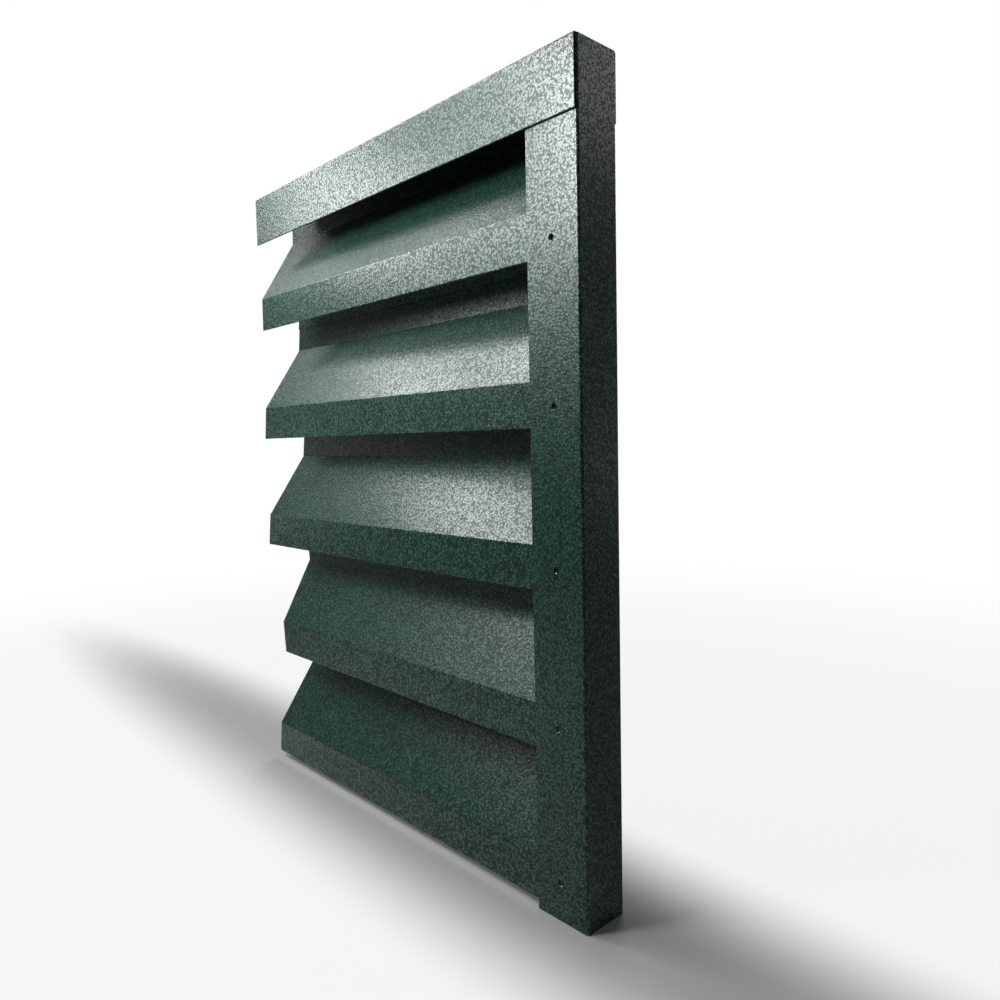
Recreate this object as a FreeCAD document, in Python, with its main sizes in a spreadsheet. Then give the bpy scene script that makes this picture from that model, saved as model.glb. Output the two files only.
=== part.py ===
"""Section of a louvred fence panel: a perforated U-profile that carries five folded slats under a folded cap.

Every sheet piece is drawn as the section of one folded strip and padded along its length. X runs along the
panel with the U-profile at the right-hand end, Y runs from the front to the back, and Z is up. The origin is
at the middle of the panel's outline, at the level of the U-profile's foot.
"""
import FreeCAD, Part
import math
import os
import Sketcher

# Driving sizes in millimetres and degrees: name, value, what it is
SIZES = [
    ("sheet_thickness", 0.5, "coated steel sheet of all the folded pieces"),
    ("bend_radius", 1.0, "inside radius of a fold"),
    ("hem_radius", 0.15, "inside radius of an edge that is folded flat on itself"),
    ("sheet_gap", 0.1, "between two pieces that lie on each other"),
    ("channel_height", 534.0, "length of the U-profile"),
    ("channel_depth", 35.0, "outside width of the U-profile's web"),
    ("flange_width", 42.0, "outside width of the U-profile's flanges"),
    ("hole_diameter", 4.2, "holes in the flanges and the slats"),
    ("hole_edge_distance", 20.0, "from a flange's free edge to its row of holes"),
    ("first_hole_height", 25.0, "from the foot to the lowest hole"),
    ("top_slat_gap", 1.5, "from the top slat's sawn upper edge to the U-profile's top"),
    ("top_flange_height", 34.0, "what is left of the top slat's back flange under the cap"),
    ("hole_shortfall", 2.0, "how much closer the holes are than the slats"),
    ("lowest_slat_height", 6.0, "from the foot to the lowest slat's lip"),
    ("lip_height", 29.0, "upright front lip of a slat"),
    ("slope_rise", 55.5, "height of a slat's slope"),
    ("back_flange_height", 45.0, "upright flange behind the slope"),
    ("lip_hem_depth", 6.0, "hem behind the lip's lower edge"),
    ("back_hem_depth", 25.0, "hem in front of the back flange's upper edge"),
    ("slat_end_gap", 3.0, "between a slat's end and the inside of the web"),
    ("cap_flange_height", 42.0, "outside height of the cap's flanges"),
    ("cap_hem_depth", 8.0, "hem inside the cap's lower edges"),
    ("cap_side_gap", 0.2, "between the cap's hems and the flanges"),
    ("cap_end_setback", 1.2, "from the web's outer face to the cap's end"),
    ("cap_reach", 396.0, "from the web's outer face to the cap's free end"),
    ("rivet_fold_distance", 10.0, "from a slat's rear fold up to its rivet"),
    ("rivet_diameter", 4.0, "shank of a blind rivet"),
    ("rivet_head_diameter", 7.5, "domed head of a blind rivet"),
    ("rivet_head_height", 1.1, "crown of the head"),
    ("rivet_rim_height", 0.3, "upright rim of the head"),
    ("rivet_blind_diameter", 5.4, "swollen end inside the channel"),
    ("rivet_blind_length", 3.6, "length of the swollen end"),
    ("rivet_blind_chamfer", 0.7, "slope at both ends of the swollen end"),
    ("mandrel_diameter", 2.1, "steel stem left in the rivet"),
    ("mandrel_clearance", 0.05, "around the stem"),
    ("mandrel_head_diameter", 3.4, "head of the stem"),
    ("mandrel_head_length", 1.4, "length of the stem's head"),
    ("mandrel_break_depth", 0.3, "from the rivet's crown down to the broken stem"),
]

# The slats from the top down: reach from the web's outer face at the lip's lower edge, and how far
# the sawn free end is out of square, positive where the slat is shorter at its top
SLAT_ENDS = [
    ("slat_1", 396.0, 1.5),
    ("slat_2", 401.0, 7.5),
    ("slat_3", 402.0, 8.5),
    ("slat_4", 377.0, -5.4),
    ("slat_5", 396.0, 6.5),
]

SLAT_STEPS = len(SLAT_ENDS) - 1
REACHES = "; ".join([name + "_reach" for name, reach, angle in SLAT_ENDS] + ["cap_reach"])

# Sizes that follow from the driving sizes
WORKED_OUT = [
    ("slat_height", "lip_height + slope_rise + back_flange_height"),
    ("top_slat_height", "lip_height + slope_rise + top_flange_height"),
    ("top_slat_level", "channel_height - top_slat_gap - top_slat_height"),
    ("slat_pitch", f"(top_slat_level - lowest_slat_height) / {SLAT_STEPS}"),
    ("hole_pitch", "slat_pitch - hole_shortfall"),
    ("hole_column", "flange_width - hole_edge_distance"),
    ("hem_thickness", "2 * hem_radius + 2 * sheet_thickness"),
    ("outer_bend", "bend_radius + sheet_thickness"),
    ("outer_hem", "hem_radius + sheet_thickness"),
    ("slat_front", "sheet_thickness + sheet_gap"),
    ("slat_depth", "channel_depth - 2 * slat_front"),
    ("slat_start", "sheet_thickness + slat_end_gap"),
    ("slope_run", "slat_depth - sheet_thickness"),
    ("slope_length", "sqrt(slope_run * slope_run + slope_rise * slope_rise)"),
    ("half_turn_tangent", "(slope_length - slope_rise) / slope_run"),
    ("outer_setback", "outer_bend * half_turn_tangent"),
    ("inner_setback", "bend_radius * half_turn_tangent"),
    ("rivet_height", "lip_height + slope_rise + rivet_fold_distance"),
    ("cap_proud", "cap_side_gap + hem_thickness"),
    ("cap_depth", "channel_depth + 2 * cap_proud"),
    ("cap_top", "channel_height + sheet_gap + sheet_thickness"),
    ("cap_bottom", "cap_top - cap_flange_height"),
    ("slat_grip", "2 * sheet_thickness + 3 * sheet_gap"),
    ("rear_reach", "channel_depth + cap_proud + sheet_gap + rivet_head_height"),
    ("web_face_x", f"max({REACHES}) / 2"),
    ("front_face_y", "(cap_proud - rear_reach) / 2"),
]

doc = FreeCAD.newDocument("louvre_panel")
sheet = doc.addObject("Spreadsheet::Sheet", "Sizes")


def fill_sheet():
    """Writes every size into the spreadsheet, one row each, with its alias."""
    rows = [(name, str(value), note) for name, value, note in SIZES]
    for name, reach, angle in SLAT_ENDS:
        rows.append((name + "_reach", str(reach), "free end of this slat at its lip"))
        rows.append((name + "_angle", str(angle), "its end cut, out of square"))
    rows += [(name, "=" + formula, "worked out") for name, formula in WORKED_OUT]
    for row, (name, content, note) in enumerate(rows, start=1):
        sheet.set(f"A{row}", name)
        sheet.set(f"B{row}", content)
        sheet.set(f"C{row}", note)
        sheet.setAlias(f"B{row}", name)
    doc.recompute()


def value_of(expression):
    """Present value of an expression over the spreadsheet, as a plain number."""
    result = sheet.evalExpression(expression)
    return float(getattr(result, "Value", result))


def new_body(label):
    """A body whose local origin is the foot of the corner between the web's and the front flange's outer faces."""
    body = doc.addObject("PartDesign::Body", label)
    body.Label = label
    body.setExpression("Placement.Base.x", "Sizes.web_face_x")
    body.setExpression("Placement.Base.y", "Sizes.front_face_y")
    return body


def new_sketch(body, name, plane_role, offset=None):
    """A sketch on one of the body's own origin planes, moved along the plane's normal by an expression."""
    sketch = body.newObject("Sketcher::SketchObject", name)
    plane = next(feature for feature in body.Origin.OriginFeatures if feature.Role == plane_role)
    sketch.AttachmentSupport = [(plane, "")]
    sketch.MapMode = "FlatFace"
    if offset:
        sketch.setExpression("AttachmentOffset.Base.z", offset)
    return sketch


def drive(sketch, constraint, expression):
    """Adds a constraint and binds its size to an expression."""
    index = sketch.addConstraint(constraint)
    name = f"size_{index}"
    sketch.renameConstraint(index, name)
    sketch.setExpression("Constraints." + name, expression)


def place_point(sketch, geometry, position, x_expression, y_expression):
    """Holds one point of a sketch at coordinates given by expressions, measured from the sketch's origin."""
    for kind, expression in (("DistanceX", x_expression), ("DistanceY", y_expression)):
        value = value_of(expression)
        if value < 0:
            constraint = Sketcher.Constraint(kind, geometry, position, -1, 1, -value)
            drive(sketch, constraint, f"-({expression})")
        else:
            drive(sketch, Sketcher.Constraint(kind, -1, 1, geometry, position, value), expression)


class Flat:
    """Straight stretch of a folded strip: its length and its heading in degrees from the sketch's x axis."""

    def __init__(self, length, heading):
        self.length = length
        self.heading = heading


class Fold:
    """Fold to the right (-1) or to the left (+1) with an inside radius."""

    def __init__(self, side, inside_radius):
        self.side = side
        self.inside_radius = inside_radius


def draw_strip(sketch, start, moves):
    """Draws the closed section of a sheet strip whose traced face starts at a point and has the sheet on its right.

    The moves are flats with folds between them. Each fold gives two arcs about one centre, each flat two
    parallel lines, and every length, heading and radius is a bound constraint.
    """
    thickness = value_of("Sizes.sheet_thickness")
    flats = [move for move in moves if isinstance(move, Flat)]
    headings = [math.radians(value_of(flat.heading)) for flat in flats]
    point = FreeCAD.Vector(value_of(start[0]), value_of(start[1]), 0)
    traced, far = [], []
    flat_number = 0
    for move in moves:
        if isinstance(move, Flat):
            heading = headings[flat_number]
            flat_number += 1
            along = FreeCAD.Vector(math.cos(heading), math.sin(heading), 0)
            across = FreeCAD.Vector(along.y, -along.x, 0) * thickness
            end = point + along * value_of(move.length)
            traced.append((sketch.addGeometry(Part.LineSegment(point, end)), 1, 2))
            far.append((sketch.addGeometry(Part.LineSegment(point + across, end + across)), 1, 2))
        else:
            inside = value_of(move.inside_radius)
            radius = inside + thickness if move.side < 0 else inside
            to_left = FreeCAD.Vector(-along.y, along.x, 0)
            centre = point + to_left * (radius * move.side)
            turn = (headings[flat_number] - headings[flat_number - 1]) * move.side % (2 * math.pi)
            first = math.atan2(point.y - centre.y, point.x - centre.x)
            last = first + turn * move.side
            end = centre + FreeCAD.Vector(math.cos(last), math.sin(last), 0) * radius
            ends = (1, 2) if move.side > 0 else (2, 1)
            span = (first, last) if move.side > 0 else (last, first)
            up = FreeCAD.Vector(0, 0, 1)
            for chain, size in ((traced, radius), (far, radius + thickness * move.side)):
                arc = Part.ArcOfCircle(Part.Circle(centre, up, size), span[0], span[1])
                chain.append((sketch.addGeometry(arc), *ends))
        point = end
    for chain in (traced, far):
        for before, after in zip(chain, chain[1:]):
            sketch.addConstraint(Sketcher.Constraint("Tangent", before[0], before[2], after[0], after[1]))
    place_point(sketch, traced[0][0], 1, *start)
    for move, near, back in zip(moves, traced, far):
        if isinstance(move, Flat):
            length = value_of(move.length)
            drive(sketch, Sketcher.Constraint("Distance", near[0], length), move.length)
            angle = math.radians(value_of(move.heading))
            drive(sketch, Sketcher.Constraint("Angle", near[0], angle), f"({move.heading}) * 1 deg")
        else:
            outside = f"{move.inside_radius} + Sizes.sheet_thickness"
            traced_radius, far_radius = move.inside_radius, outside
            if move.side < 0:
                traced_radius, far_radius = outside, move.inside_radius
            sketch.addConstraint(Sketcher.Constraint("Coincident", near[0], 3, back[0], 3))
            drive(sketch, Sketcher.Constraint("Radius", near[0], value_of(traced_radius)), traced_radius)
            drive(sketch, Sketcher.Constraint("Radius", back[0], value_of(far_radius)), far_radius)
    for near, back, end in ((traced[0], far[0], 1), (traced[-1], far[-1], 2)):
        tip = sketch.Geometry[near[0]].StartPoint if end == 1 else sketch.Geometry[near[0]].EndPoint
        rim = sketch.Geometry[back[0]].StartPoint if end == 1 else sketch.Geometry[back[0]].EndPoint
        edge = sketch.addGeometry(Part.LineSegment(tip, rim))
        sketch.addConstraint(Sketcher.Constraint("Coincident", edge, 1, near[0], end))
        sketch.addConstraint(Sketcher.Constraint("Coincident", edge, 2, back[0], end))
        sketch.addConstraint(Sketcher.Constraint("Perpendicular", edge, near[0]))
        sketch.addConstraint(Sketcher.Constraint("Parallel", near[0], back[0]))


def draw_outline(sketch, corners):
    """Draws a closed outline of straight edges whose corners are given by expressions."""
    points = [FreeCAD.Vector(value_of(x), value_of(y), 0) for x, y in corners]
    edges = [
        sketch.addGeometry(Part.LineSegment(point, following))
        for point, following in zip(points, points[1:] + points[:1])
    ]
    for edge, following in zip(edges, edges[1:] + edges[:1]):
        sketch.addConstraint(Sketcher.Constraint("Coincident", edge, 2, following, 1))
    for edge, (x, y) in zip(edges, corners):
        place_point(sketch, edge, 1, x, y)


def draw_hole(sketch, x_expression, y_expression, diameter="Sizes.hole_diameter"):
    """Draws one round hole at a place given by expressions."""
    centre = FreeCAD.Vector(value_of(x_expression), value_of(y_expression), 0)
    circle = Part.Circle(centre, FreeCAD.Vector(0, 0, 1), value_of(diameter) / 2)
    index = sketch.addGeometry(circle)
    place_point(sketch, index, 3, x_expression, y_expression)
    drive(sketch, Sketcher.Constraint("Diameter", index, value_of(diameter)), diameter)


def pad(body, sketch, name, length, backwards=False):
    """Pads a section by a length given by an expression."""
    feature = body.newObject("PartDesign::Pad", name)
    feature.Profile = sketch
    feature.setExpression("Length", length)
    feature.Reversed = backwards
    doc.recompute()
    return feature


def cut(body, sketch, name, depth=None):
    """Cuts a sketch out of the body towards the back: through everything, or to a depth."""
    before = body.Shape.Volume
    feature = body.newObject("PartDesign::Pocket", name)
    feature.Profile = sketch
    if depth:
        feature.Type = "Length"
        feature.setExpression("Length", depth)
    else:
        feature.Type = "ThroughAll"
    doc.recompute()
    if body.Shape.Volume >= before:
        raise RuntimeError(f"{body.Label}: {name} removes nothing")
    return feature


def repeat_upwards(body, feature, sketch, name, spacing):
    """Repeats a cut up the sketch's vertical axis, once for each slat."""
    pattern = body.newObject("PartDesign::LinearPattern", name)
    pattern.Originals = [feature]
    pattern.Direction = (sketch, ["V_Axis"])
    pattern.Occurrences = SLAT_STEPS + 1
    pattern.setExpression("Length", f"{spacing} * {SLAT_STEPS}")
    body.Tip = pattern
    doc.recompute()


def build_channel():
    """The perforated U-profile: one folded sheet with a row of open holes in front and rivet holes behind."""
    body = new_body("u_profile")
    section = new_sketch(body, "channel_section", "XY_Plane")
    flange = Flat("Sizes.flange_width - Sizes.outer_bend", "0")
    web = Flat("Sizes.channel_depth - 2 * Sizes.outer_bend", "-90")
    front_flange = Flat("Sizes.flange_width - Sizes.outer_bend", "180")
    corner = Fold(-1, "Sizes.bend_radius")
    draw_strip(section, ("-Sizes.flange_width", "Sizes.channel_depth"), [flange, corner, web, corner, front_flange])
    pad(body, section, "channel_length", "Sizes.channel_height")
    front = new_sketch(body, "front_hole_place", "XZ_Plane")
    draw_hole(front, "-Sizes.hole_column", "Sizes.first_hole_height")
    front_hole = cut(body, front, "front_hole", "Sizes.channel_depth / 2")
    repeat_upwards(body, front_hole, front, "front_holes", "Sizes.hole_pitch")
    rear = new_sketch(body, "rear_hole_place", "XZ_Plane", "-Sizes.channel_depth / 2")
    draw_hole(rear, "-Sizes.hole_column", "Sizes.lowest_slat_height + Sizes.rivet_height")
    rear_hole = cut(body, rear, "rear_hole")
    repeat_upwards(body, rear_hole, rear, "rear_holes", "Sizes.slat_pitch")
    return body


def slat_level(row):
    """Height of a slat's lower edge, for the row counted from the lowest slat."""
    return f"(Sizes.lowest_slat_height + {row} * Sizes.slat_pitch)"


def build_slat(label, row):
    """One slat: a strip folded to a lip, a slope and a back flange, hemmed at both edges and sawn at its free end.

    The top slat's back flange is sawn off under the cap, so it has no hem.
    """
    body = new_body(label)
    body.setExpression("Placement.Base.z", slat_level(row))
    section = new_sketch(body, label + "_section", "YZ_Plane", "-Sizes.slat_start")
    fold = Fold(-1, "Sizes.bend_radius")
    fold_back = Fold(1, "Sizes.bend_radius")
    slope_heading = "atan2(Sizes.slope_rise; Sizes.slope_run) / 1 deg"
    moves = [
        Flat("Sizes.lip_hem_depth - Sizes.outer_hem", "-90"),
        Fold(-1, "Sizes.hem_radius"),
        Flat("Sizes.lip_height - Sizes.outer_hem - Sizes.outer_setback", "90"),
        fold,
        Flat("Sizes.slope_length - Sizes.outer_setback - Sizes.inner_setback", slope_heading),
        fold_back,
    ]
    if row == SLAT_STEPS:
        moves += [Flat("Sizes.top_flange_height - Sizes.inner_setback", "90")]
    else:
        moves += [
            Flat("Sizes.back_flange_height - Sizes.inner_setback - Sizes.outer_hem", "90"),
            Fold(1, "Sizes.hem_radius"),
            Flat("Sizes.back_hem_depth - Sizes.outer_hem", "-90"),
        ]
    draw_strip(section, ("Sizes.slat_front + Sizes.hem_thickness", "Sizes.lip_hem_depth"), moves)
    reach, slant = f"Sizes.{label}_reach", f"tan(Sizes.{label}_angle * 1 deg)"
    far_end = f"({reach} + Sizes.slat_height * abs({slant}))"
    pad(body, section, label + "_length", f"{far_end} - Sizes.slat_start", backwards=True)
    trim = new_sketch(body, label + "_end_cut", "XZ_Plane")
    margin = "Sizes.lip_height"
    corners = [
        (f"-{reach} - {margin} * {slant}", f"-{margin}"),
        (f"-{reach} + (Sizes.slat_height + {margin}) * {slant}", f"Sizes.slat_height + {margin}"),
        (f"-{far_end} - {margin}", f"Sizes.slat_height + {margin}"),
        (f"-{far_end} - {margin}", f"-{margin}"),
    ]
    draw_outline(trim, corners)
    cut(body, trim, label + "_trimmed")
    holes = new_sketch(body, label + "_hole_places", "XZ_Plane")
    front_hole = f"Sizes.first_hole_height + {row} * Sizes.hole_pitch - {slat_level(row)}"
    draw_hole(holes, "-Sizes.hole_column", front_hole)
    draw_hole(holes, "-Sizes.hole_column", "Sizes.rivet_height")
    cut(body, holes, label + "_holes")
    return body


def build_cap():
    """The cap: a strip folded over the top of the channel and the top slat, with hems inside its lower edges."""
    body = new_body("top_cap")
    section = new_sketch(body, "cap_section", "YZ_Plane", "-Sizes.cap_end_setback")
    hem = Fold(-1, "Sizes.hem_radius")
    corner = Fold(-1, "Sizes.bend_radius")
    side_length = "Sizes.cap_flange_height - Sizes.outer_hem - Sizes.outer_bend"
    moves = [
        Flat("Sizes.cap_hem_depth - Sizes.outer_hem", "-90"),
        hem,
        Flat(side_length, "90"),
        corner,
        Flat("Sizes.cap_depth - 2 * Sizes.outer_bend", "0"),
        corner,
        Flat(side_length, "-90"),
        hem,
        Flat("Sizes.cap_hem_depth - Sizes.outer_hem", "90"),
    ]
    draw_strip(section, ("-Sizes.cap_side_gap", "Sizes.cap_bottom + Sizes.cap_hem_depth"), moves)
    pad(body, section, "cap_length", "Sizes.cap_reach - Sizes.cap_end_setback", backwards=True)
    hole = new_sketch(body, "cap_hole_place", "XZ_Plane", "-Sizes.channel_depth / 2")
    draw_hole(hole, "-Sizes.hole_column", f"{slat_level(SLAT_STEPS)} + Sizes.rivet_height")
    cut(body, hole, "cap_hole")
    return body


def revolve(body, sketch, name):
    """Turns a half section about the sketch's vertical axis."""
    feature = body.newObject("PartDesign::Revolution", name)
    feature.Profile = sketch
    feature.ReferenceAxis = (sketch, ["V_Axis"])
    feature.Angle = 360
    doc.recompute()


def place_rivet(body, row, seat):
    """Puts a rivet or its stem on the rear hole of a row, with the head on a seat given from the front face."""
    body.setExpression("Placement.Base.x", "Sizes.web_face_x - Sizes.hole_column")
    body.setExpression("Placement.Base.y", f"Sizes.front_face_y + {seat}")
    body.setExpression("Placement.Base.z", f"{slat_level(row)} + Sizes.rivet_height")


def build_rivet(label, row, seat, grip):
    """Body of a set blind rivet: domed head, shank and swollen blind end, drilled for the stem."""
    body = new_body(label)
    place_rivet(body, row, seat)
    half = new_sketch(body, label + "_half", "XY_Plane")
    bore = "Sizes.mandrel_diameter / 2 + Sizes.mandrel_clearance"
    end = f"-({grip}) - Sizes.rivet_blind_length"
    corners = [
        (bore, "Sizes.rivet_head_height"),
        ("Sizes.rivet_head_diameter / 4", "Sizes.rivet_head_height"),
        ("Sizes.rivet_head_diameter / 2", "Sizes.rivet_rim_height"),
        ("Sizes.rivet_head_diameter / 2", "0"),
        ("Sizes.rivet_diameter / 2", "0"),
        ("Sizes.rivet_diameter / 2", f"-({grip})"),
        ("Sizes.rivet_blind_diameter / 2", f"-({grip}) - Sizes.rivet_blind_chamfer"),
        ("Sizes.rivet_blind_diameter / 2", f"{end} + Sizes.rivet_blind_chamfer"),
        ("Sizes.rivet_diameter / 2", end),
        (bore, end),
    ]
    draw_outline(half, corners)
    revolve(body, half, label + "_turned")
    return body


def build_mandrel(label, row, seat, grip):
    """Stem of a set blind rivet, broken off inside the head, with its own head at the blind end."""
    body = new_body(label)
    place_rivet(body, row, seat)
    half = new_sketch(body, label + "_half", "XY_Plane")
    shoulder = f"-({grip}) - Sizes.rivet_blind_length - Sizes.sheet_gap"
    corners = [
        ("0", "Sizes.rivet_head_height - Sizes.mandrel_break_depth"),
        ("Sizes.mandrel_diameter / 2", "Sizes.rivet_head_height - Sizes.mandrel_break_depth"),
        ("Sizes.mandrel_diameter / 2", shoulder),
        ("Sizes.mandrel_head_diameter / 2", shoulder),
        ("Sizes.mandrel_head_diameter / 2", f"{shoulder} - Sizes.mandrel_head_length / 2"),
        ("Sizes.mandrel_diameter / 2", f"{shoulder} - Sizes.mandrel_head_length"),
        ("0", f"{shoulder} - Sizes.mandrel_head_length"),
    ]
    draw_outline(half, corners)
    revolve(body, half, label + "_turned")
    return body


def build_all():
    """Builds every piece and returns the bodies."""
    bodies = [build_channel(), build_cap()]
    rows = range(SLAT_STEPS, -1, -1)
    for row, (label, reach, angle) in zip(rows, SLAT_ENDS):
        bodies.append(build_slat(label, row))
    for number, row in enumerate(rows, start=1):
        seat = "Sizes.channel_depth + Sizes.sheet_gap"
        grip = "Sizes.slat_grip"
        if number == 1:
            seat = f"{seat} + Sizes.cap_proud"
            grip = f"{grip} + Sizes.cap_proud"
        bodies.append(build_rivet(f"rivet_{number}", row, seat, grip))
        bodies.append(build_mandrel(f"mandrel_{number}", row, seat, grip))
    return bodies


def check_and_write(bodies):
    """Stops on any failed object or bad shape, then writes one file for each piece."""
    doc.recompute()
    for item in doc.Objects:
        if "Invalid" in item.State or "Error" in item.State:
            raise RuntimeError(f"{item.Label} failed: {item.State}")
    for body in bodies:
        if body.Shape.isNull() or not body.Shape.isValid() or len(body.Shape.Solids) != 1:
            raise RuntimeError(f"{body.Label} is not one valid solid")
    os.makedirs("parts", exist_ok=True)
    for body in bodies:
        body.Shape.exportStep(f"parts/{body.Label}.step")
        box = body.Shape.BoundBox
        size = f"{box.XLength:.1f} x {box.YLength:.1f} x {box.ZLength:.1f} mm"
        print(f"{body.Label}: {size}, {body.Shape.Volume:.1f} mm3")


fill_sheet()
check_and_write(build_all())
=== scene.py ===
"""Visual model of a section of louvred fence panel: a perforated U-profile, five folded slats and a cap.

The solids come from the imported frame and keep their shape. This script gives them their finishes, a
coating with a fine hard grain on the folded sheets and bare metal on the rivets, and sets up the floor,
light and camera.
"""
import logging
import math
from dataclasses import dataclass, field
from enum import Enum
from typing import Any, Sequence, Union

import bpy
import numpy as np
from mathutils import Matrix, Vector

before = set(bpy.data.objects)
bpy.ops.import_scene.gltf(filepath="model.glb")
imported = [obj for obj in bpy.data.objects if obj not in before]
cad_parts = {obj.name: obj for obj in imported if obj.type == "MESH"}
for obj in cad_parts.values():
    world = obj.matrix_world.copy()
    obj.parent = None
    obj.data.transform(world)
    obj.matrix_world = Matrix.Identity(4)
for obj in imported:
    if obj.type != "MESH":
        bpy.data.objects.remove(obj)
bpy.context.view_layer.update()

LOG = logging.getLogger("louvre_panel")
WHITE = (1.0, 1.0, 1.0)

Colour = tuple[float, float, float]
Point = tuple[float, float, float]
Span = tuple[float, float]
Operand = Union["Signal", float]


class Slot(Enum):
    """Material slots of the record."""

    COATING = "structured_coating"
    ALUMINIUM = "rivet_aluminium"
    STEEL = "mandrel_steel"


class Measure(Enum):
    """Ways to get one number from a vector, as Vector Math names them."""

    LENGTH = "LENGTH"
    DISTANCE = "DISTANCE"
    ALONG = "DOT_PRODUCT"


class Ray(Enum):
    """Kinds of ray, as Light Path names them."""

    CAMERA = "Is Camera Ray"
    GLOSS = "Is Glossy Ray"
    TRANSMISSION = "Is Transmission Ray"


class Signal:
    """One output socket of a node tree, with arithmetic that adds the nodes for it."""

    def __init__(self, graph: "Graph", socket: bpy.types.NodeSocket | None) -> None:
        """Keeps the graph and the socket."""
        self.graph = graph
        self.socket = socket

    def _maths(self, operation: str, first: Operand, second: Operand) -> "Signal":
        """Adds one Math node.

        Args:
            operation: name of the operation.
            first: its first value or signal.
            second: its second value or signal.

        Returns:
            The node's result.
        """
        return self.graph.add("ShaderNodeMath", {"operation": operation}, {0: first, 1: second})

    def __add__(self, other: Operand) -> "Signal":
        """Sum."""
        return self._maths("ADD", self, other)

    def __radd__(self, other: float) -> "Signal":
        """Sum with a number first."""
        return self._maths("ADD", other, self)

    def __sub__(self, other: Operand) -> "Signal":
        """Difference."""
        return self._maths("SUBTRACT", self, other)

    def __rsub__(self, other: float) -> "Signal":
        """Number minus signal."""
        return self._maths("SUBTRACT", other, self)

    def __mul__(self, other: Operand) -> "Signal":
        """Product."""
        return self._maths("MULTIPLY", self, other)

    def __rmul__(self, other: float) -> "Signal":
        """Product with a number first."""
        return self._maths("MULTIPLY", other, self)

    def at_most(self, limit: float) -> "Signal":
        """The signal, or the limit where that is smaller."""
        return self._maths("MINIMUM", self, limit)

    def step(self, span: Span) -> "Signal":
        """Goes smoothly from 0 to 1 across a span.

        Args:
            span: where the result is 0 and where it is 1; it falls where the first is the larger.

        Returns:
            The smooth step.
        """
        settings = {"interpolation_type": "SMOOTHSTEP", "clamp": True}
        inputs = {"Value": self, "From Min": min(span), "From Max": max(span)}
        risen = self.graph.add("ShaderNodeMapRange", settings, inputs)
        return risen if span[0] < span[1] else 1.0 - risen

    def measure(self, kind: Measure, other: Point = (0.0, 0.0, 0.0)) -> "Signal":
        """Gets one number from a vector.

        Args:
            kind: its length, its distance from a point, or how far it goes along a direction.
            other: that point or direction.

        Returns:
            The number.
        """
        settings = {"operation": kind.value}
        return self.graph.add("ShaderNodeVectorMath", settings, {0: self, 1: other}, output="Value")

    def scaled(self, factors: Point) -> "Signal":
        """A vector times one factor for each axis."""
        return self.graph.add("ShaderNodeVectorMath", {"operation": "MULTIPLY"}, {0: self, 1: factors})

    def also(self, output: str) -> "Signal":
        """Another output of the same node."""
        return Signal(self.graph, self.socket.node.outputs[output])


class Graph:
    """Node tree of one material or world, filled from Python expressions."""

    def __init__(self, tree: bpy.types.NodeTree) -> None:
        """Empties the tree."""
        self.tree = tree
        tree.nodes.clear()

    def add(self, kind: str, settings: dict[str, Any] | None = None,
            inputs: dict[int | str, Any] | None = None, output: int | str = 0) -> Signal:
        """Adds one node.

        Args:
            kind: Blender's type name of the node.
            settings: properties that are set before the sockets.
            inputs: values or signals for the sockets, by name or number.
            output: which output is returned.

        Returns:
            The chosen output as a signal, which is empty for a node without outputs.
        """
        node = self.tree.nodes.new(kind)
        for name, value in (settings or {}).items():
            setattr(node, name, value)
        for name, value in (inputs or {}).items():
            if isinstance(value, Signal):
                self.tree.links.new(value.socket, node.inputs[name])
            else:
                node.inputs[name].default_value = value
        return Signal(self, node.outputs[output] if node.outputs else None)

    def colour_mix(self, factor: Signal, first: Signal | Colour, second: Signal | Colour) -> Signal:
        """Blends two colours.

        Args:
            factor: 0 for the first colour, 1 for the second.
            first: a colour or a signal.
            second: a colour or a signal.

        Returns:
            The blended colour.
        """
        inputs = {0: factor, 6: _rgba(first), 7: _rgba(second)}
        return self.add("ShaderNodeMix", {"data_type": "RGBA"}, inputs, output=2)

    def ray(self, kind: Ray) -> Signal:
        """1 for rays of one kind and 0 for all others."""
        return self.add("ShaderNodeLightPath", output=kind.value)

    def reflected(self) -> Signal:
        """1 for rays of gloss and of transmission, and 0 for all others."""
        return (self.ray(Ray.GLOSS) + self.ray(Ray.TRANSMISSION)).at_most(1.0)


def _rgba(colour: Signal | Colour) -> Any:
    """Gives a plain colour its alpha and lets a signal through."""
    return colour if isinstance(colour, Signal) else (*colour, 1.0)


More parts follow.
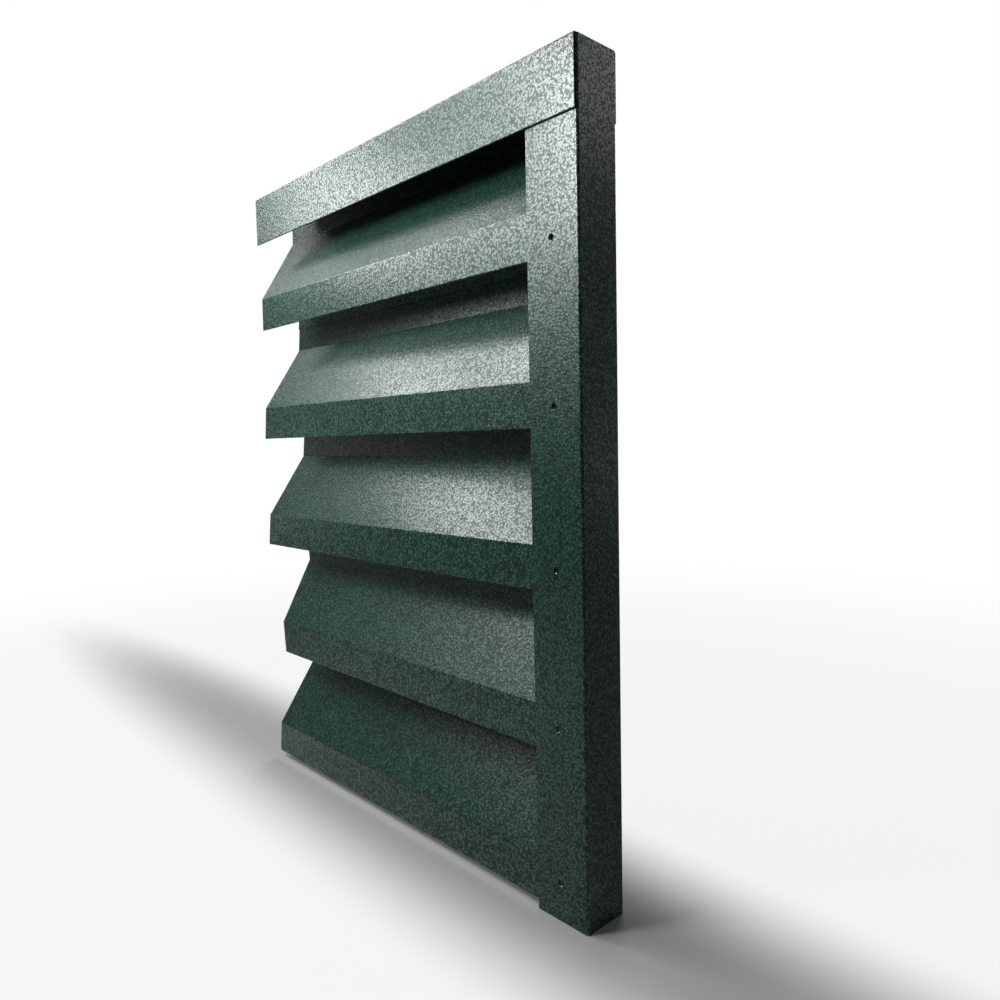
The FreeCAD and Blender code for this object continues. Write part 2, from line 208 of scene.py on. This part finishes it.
@dataclass(frozen=True)
class StructuredCoating:
    """Polyester coating with a hard fine grain: glossy grains over a dull dark green base, whose colour
    is darker in the hollows of the grain and lighter on its tops, partly as the grain's own tone and
    partly as painted shade in the hollows and painted glints on the tops.

    The relief is a number from 0 to 1, mixed from round domes, which rise unevenly, and a fine noise.
    Each span says between which heights of the relief a change takes place.
    """

    # The darkest and the lightest colour here are partly the grain's own tone and partly painted light:
    # painted shade in the hollows of the relief, painted glints on its tops.
    hollow_tone_and_painted_shade: Colour = (0.002, 0.013, 0.009)
    body: Colour = (0.007, 0.036, 0.022)
    crest_tone_and_painted_glint: Colour = (0.030, 0.112, 0.073)
    grain_scale: float = 580.0
    fine_scale: float = 830.0
    fine_detail: float = 2.0
    fine_roughness: float = 0.55
    even_share: float = 0.35
    dome_share: float = 0.55
    relief_depth: float = 0.00064
    hollow_shade_span: Span = (0.42, 0.32)
    crest_glint_span: Span = (0.42, 0.58)
    dull_span: Span = (0.46, 0.34)
    glint_span: Span = (0.34, 0.46)
    crest_roughness: float = 0.30
    ground_roughness: float = 0.42
    gloss_tint: Colour = (0.72, 1.0, 0.82)
    specular: float = 0.32
    ground_glint: float = 0.25
    glint_roughness: float = 0.27
    glint_ior: float = 1.56

    def build(self) -> bpy.types.Material:
        """Makes the material, whose colour, gloss and bumps all follow the relief.

        Returns:
            The material.
        """
        material, graph, place = _new_material(Slot.COATING.value)
        relief = self._relief(graph, place)
        # Colour by height of the relief: darkest in the hollows (painted shade) and lightest on the tops
        # (painted glints), over the grain's own tone.
        colour = graph.colour_mix(relief.step(self.hollow_shade_span), self.body, self.hollow_tone_and_painted_shade)
        colour = graph.colour_mix(relief.step(self.crest_glint_span), colour, self.crest_tone_and_painted_glint)
        dulled = relief.step(self.dull_span) * (self.ground_roughness - self.crest_roughness)
        glint = self.ground_glint + relief.step(self.glint_span) * (1.0 - self.ground_glint)
        bumps = {"Strength": 1.0, "Distance": self.relief_depth, "Height": relief}
        _finish(graph, {
            "Base Color": colour,
            "Roughness": self.crest_roughness + dulled,
            "Specular IOR Level": self.specular,
            "Specular Tint": _rgba(self.gloss_tint),
            "Coat Weight": glint,
            "Coat Roughness": self.glint_roughness,
            "Coat IOR": self.glint_ior,
            "Normal": graph.add("ShaderNodeBump", inputs=bumps),
        })
        return material

    def _relief(self, graph: Graph, place: Signal) -> Signal:
        """Height of the grain: domes of random height, which are 1 less the distance from their middles,
        and a noise with finer spots.

        Args:
            graph: where the nodes go.
            place: the panel's own coordinates.

        Returns:
            The height, from 0 to 1.
        """
        distance = graph.add("ShaderNodeTexVoronoi", {"feature": "F1"},
                             {"Vector": place, "Scale": self.grain_scale}, output="Distance")
        chance = distance.also("Color")  # grey on purpose: one random number for each dome
        fine = graph.add("ShaderNodeTexNoise", inputs={
            "Vector": place, "Scale": self.fine_scale,
            "Detail": self.fine_detail, "Roughness": self.fine_roughness,
        })
        domes = (1.0 - distance) * (self.even_share + chance * (1.0 - self.even_share))
        return domes * self.dome_share + fine * (1.0 - self.dome_share)


@dataclass(frozen=True)
class BareMetal:
    """Bare metal of the rivets with fine turning marks and a dull skin."""

    name: str
    tint: Colour
    dull_tint: Colour
    roughness: float
    dull_roughness: float = 0.18
    dull_span: Span = (0.35, 0.7)
    mark_stretch: Point = (1.0, 6.0, 1.0)
    mark_scale: float = 2600.0
    mark_detail: float = 3.0
    mark_strength: float = 0.3
    mark_depth: float = 0.00004

    def build(self) -> bpy.types.Material:
        """Makes the material: one stretched noise darkens and roughens the metal.

        Returns:
            The material.
        """
        material, graph, place = _new_material(self.name)
        stretched = graph.add("ShaderNodeMapping", inputs={"Vector": place, "Scale": self.mark_stretch})
        marks = graph.add("ShaderNodeTexNoise", inputs={
            "Vector": stretched, "Scale": self.mark_scale, "Detail": self.mark_detail,
        })
        dull = marks.step(self.dull_span)
        bumps = {"Strength": self.mark_strength, "Distance": self.mark_depth, "Height": marks}
        _finish(graph, {
            "Base Color": graph.colour_mix(dull, self.tint, self.dull_tint),
            "Metallic": 1.0,
            "Roughness": self.roughness + dull * self.dull_roughness,
            "Normal": graph.add("ShaderNodeBump", inputs=bumps),
        })
        return material


def _new_material(name: str) -> tuple[bpy.types.Material, Graph, Signal]:
    """Makes an empty node material.

    Args:
        name: what it is for.

    Returns:
        The material, its graph, and the panel's own coordinates in metres.
    """
    material = bpy.data.materials.new(name + "_finish")
    material.use_nodes = True
    graph = Graph(material.node_tree)
    return material, graph, graph.add("ShaderNodeTexCoord", output="Object")


def _finish(graph: Graph, inputs: dict[int | str, Any]) -> None:
    """Ends a graph in one Principled shader with the given sockets."""
    shader = graph.add("ShaderNodeBsdfPrincipled", inputs=inputs)
    graph.add("ShaderNodeOutputMaterial", inputs={"Surface": shader})


@dataclass
class SheetPieces:
    """The folded and coated sheets: U-profile, cap and slats."""

    slat_count: int = 5
    finish: StructuredCoating = field(default_factory=StructuredCoating)

    def names(self) -> list[str]:
        """Node names of the sheets."""
        slats = [f"slat_{number}" for number in range(1, self.slat_count + 1)]
        return ["u_profile", "top_cap", *slats]

    def dress(self) -> None:
        """Gives every sheet the coating."""
        _dress(self.names(), self.finish.build())


@dataclass
class BlindRivets:
    """The set blind rivets behind the slats, each with the stem left in it."""

    count: int = 5
    body: BareMetal = BareMetal(Slot.ALUMINIUM.value, (0.70, 0.71, 0.72), (0.42, 0.43, 0.45), 0.34)
    stem: BareMetal = BareMetal(Slot.STEEL.value, (0.48, 0.48, 0.50), (0.24, 0.24, 0.26), 0.38)

    def dress(self) -> None:
        """Gives rivets and stems their metals."""
        numbers = range(1, self.count + 1)
        _dress([f"rivet_{number}" for number in numbers], self.body.build())
        _dress([f"mandrel_{number}" for number in numbers], self.stem.build())


def _dress(names: Sequence[str], material: bpy.types.Material) -> None:
    """Puts a material into the slots of CAD nodes.

    Args:
        names: the nodes.
        material: what they get.
    """
    for name in names:
        for material_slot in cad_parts[name].material_slots:
            material_slot.material = material
        LOG.info("%s dressed with %s", name, material.name)


@dataclass(frozen=True)
class Lamp:
    """A soft white light with a rectangle as its face, which the camera doesn't see."""

    name: str
    place: Point
    width: float
    height: float
    watts: float
    aim: Point = (0.0, 0.0, 0.36)

    def build(self) -> None:
        """Adds the lamp and turns it to its aim."""
        data = bpy.data.lights.new(self.name, "AREA")
        data.shape = "RECTANGLE"
        data.size = self.width
        data.size_y = self.height
        data.energy = self.watts
        lamp = bpy.data.objects.new(self.name, data)
        lamp.location = self.place
        heading = Vector(self.aim) - Vector(self.place)
        lamp.rotation_euler = heading.to_track_quat("-Z", "Y").to_euler()
        lamp.visible_camera = False
        bpy.context.scene.collection.objects.link(lamp)
        LOG.info("lamp %s added", self.name)


@dataclass
class Studio:
    """Pale floor, white surroundings and soft lamps.

    All places are in metres. The floor is lit near the panel and white from the end of fade_span on.
    floor_glow is how white the camera sees it near the panel, which fades to nothing at the panel's foot.
    Gloss sees white on the side that lies behind the panel, towards rearward. Under the post, where the
    lowest hole shows the floor, a dark disc is painted into the floor's colour as painted shade.
    """

    floor_side: float = 30.0
    floor_colour: Colour = (0.38, 0.38, 0.38)
    floor_glow: float = 0.88
    foot_squeeze: Point = (0.1, 1.0, 1.0)
    foot_span: Span = (0.02, 0.12)
    fade_span: Span = (0.45, 1.5)
    # Painted shade: colour, middle and edge of a dark disc of floor colour under the post.
    painted_shade_colour: Colour = (0.08, 0.08, 0.08)
    painted_shade_place: Point = (0.160, 0.007, 0.0)
    painted_shade_span: Span = (0.016, 0.020)
    rearward: Point = (-0.66, 0.75, 0.0)
    rearward_span: Span = (0.5, 0.8)
    ambient_colour: Colour = (0.95, 0.98, 1.0)
    ambient_strength: float = 0.10
    lamps: tuple[Lamp, ...] = (
        Lamp("front_high", (-0.22, -0.38, 0.83), 0.14, 0.14, 0.25),
        Lamp("front_strip", (-0.08, -0.44, 0.65), 0.14, 0.22, 2.6),
        Lamp("front_low", (-0.22, -0.38, 0.61), 0.14, 0.14, 0.3),
        Lamp("left_low", (-0.41, -0.29, 0.61), 0.20, 0.14, 0.7),
        Lamp("left_high", (-0.62, -0.24, 0.83), 0.14, 0.14, 0.75),
        Lamp("middle_high", (-0.20, -0.20, 0.83), 0.14, 0.14, 0.6),
        Lamp("far_low", (-0.63, -0.71, 0.58), 0.35, 0.16, 0.3),
        Lamp("above_left", (-0.58, -0.27, 1.07), 0.22, 0.20, 1.25),
        Lamp("right_rear", (0.60, 0.60, 0.90), 0.30, 0.30, 0.35),
        Lamp("rear", (-0.50, 1.00, 0.90), 0.60, 0.60, 5.5, aim=(0.0, 0.0, 0.30)),
    )

    def build(self) -> None:
        """Adds floor, surroundings and lamps."""
        self._floor()
        self._surroundings()
        for lamp in self.lamps:
            lamp.build()

    def _floor(self) -> None:
        """Adds a flat square at the panel's foot."""
        corners = np.array([(-1, -1, 0), (1, -1, 0), (1, 1, 0), (-1, 1, 0)], float)
        mesh = bpy.data.meshes.new("floor")
        mesh.from_pydata((corners * self.floor_side / 2).tolist(), [], [(0, 1, 2, 3)])
        mesh.materials.append(self._floor_material())
        floor = bpy.data.objects.new("floor", mesh)
        bpy.context.scene.collection.objects.link(floor)

    def _floor_material(self) -> bpy.types.Material:
        """Makes the floor's material, which turns white far from the panel, so that no end shows.

        Returns:
            The material.
        """
        material, graph, place = _new_material("floor")
        from_foot = place.scaled(self.foot_squeeze).measure(Measure.LENGTH)
        glow = from_foot.step(self.foot_span) * self.floor_glow
        seen = glow + (1.0 - glow) * place.measure(Measure.LENGTH).step(self.fade_span)
        mirrored = place.measure(Measure.ALONG, self.rearward).step(self.fade_span)
        white = graph.ray(Ray.CAMERA) * seen + graph.reflected() * mirrored
        # Painted shade: the floor's colour turns dark in a small disc under the post, where the lowest
        # hole shows the floor.
        from_painted_shade = place.measure(Measure.DISTANCE, self.painted_shade_place)
        colour = graph.colour_mix(from_painted_shade.step(self.painted_shade_span), self.painted_shade_colour,
                                  self.floor_colour)
        near = graph.add("ShaderNodeBsdfDiffuse", inputs={"Color": colour})
        far = graph.add("ShaderNodeEmission", inputs={"Color": _rgba(WHITE), "Strength": 1.0})
        surface = graph.add("ShaderNodeMixShader", inputs={0: white, 1: near, 2: far})
        graph.add("ShaderNodeOutputMaterial", inputs={"Surface": surface})
        return material

    def _surroundings(self) -> None:
        """Adds a world that is white where it is seen or mirrored, and gives less light than that."""
        world = bpy.data.worlds.new("surroundings")
        bpy.context.scene.world = world
        world.use_nodes = True
        graph = Graph(world.node_tree)
        given = graph.add("ShaderNodeBackground", inputs={
            "Color": _rgba(self.ambient_colour), "Strength": self.ambient_strength,
        })
        shown = graph.add("ShaderNodeBackground", inputs={"Color": _rgba(WHITE), "Strength": 1.0})
        heading = graph.add("ShaderNodeTexCoord", output="Generated")
        mirrored = heading.measure(Measure.ALONG, self.rearward).step(self.rearward_span)
        white = graph.ray(Ray.CAMERA) + graph.reflected() * mirrored
        surface = graph.add("ShaderNodeMixShader", inputs={0: white, 1: given, 2: shown})
        graph.add("ShaderNodeOutputWorld", inputs={"Surface": surface})


@dataclass(frozen=True)
class Camera:
    """The viewpoint: place in metres, lens and frame in millimetres, turn, dip and tilt in degrees."""

    place: Point = (0.500547, -0.363431, 0.303997)
    lens: float = 27.9003
    frame_width: float = 36.0
    nearest: float = 0.02
    turn: float = 47.028
    dip: float = -4.257
    tilt: float = -1.207

    def build(self) -> None:
        """Adds the camera and makes it the scene's.

        It looks along a direction that is turned about the upright axis and dipped below the horizon, and
        its frame is tilted about that direction.
        """
        turn, dip, tilt = (math.radians(angle) for angle in (self.turn, self.dip, self.tilt))
        forward = Vector((-math.sin(turn) * math.cos(dip), math.cos(turn) * math.cos(dip), math.sin(dip)))
        level = Vector((math.cos(turn), math.sin(turn), 0.0))
        upright = level.cross(forward)
        right = level * math.cos(tilt) + upright * math.sin(tilt)
        up = upright * math.cos(tilt) - level * math.sin(tilt)
        data = bpy.data.cameras.new("camera")
        data.lens = self.lens
        data.sensor_width = self.frame_width
        data.clip_start = self.nearest
        camera = bpy.data.objects.new("camera", data)
        axes = Matrix((right, up, -forward)).transposed().to_4x4()
        camera.matrix_world = Matrix.Translation(self.place) @ axes
        bpy.context.scene.collection.objects.link(camera)
        bpy.context.scene.camera = camera


def main() -> None:
    """Builds the visual model in order."""
    logging.basicConfig(level=logging.INFO, format="%(message)s")
    bpy.context.scene.view_settings.view_transform = "Standard"
    Camera().build()
    SheetPieces().dress()
    BlindRivets().dress()
    Studio().build()


if __name__ == "__main__":
    main()
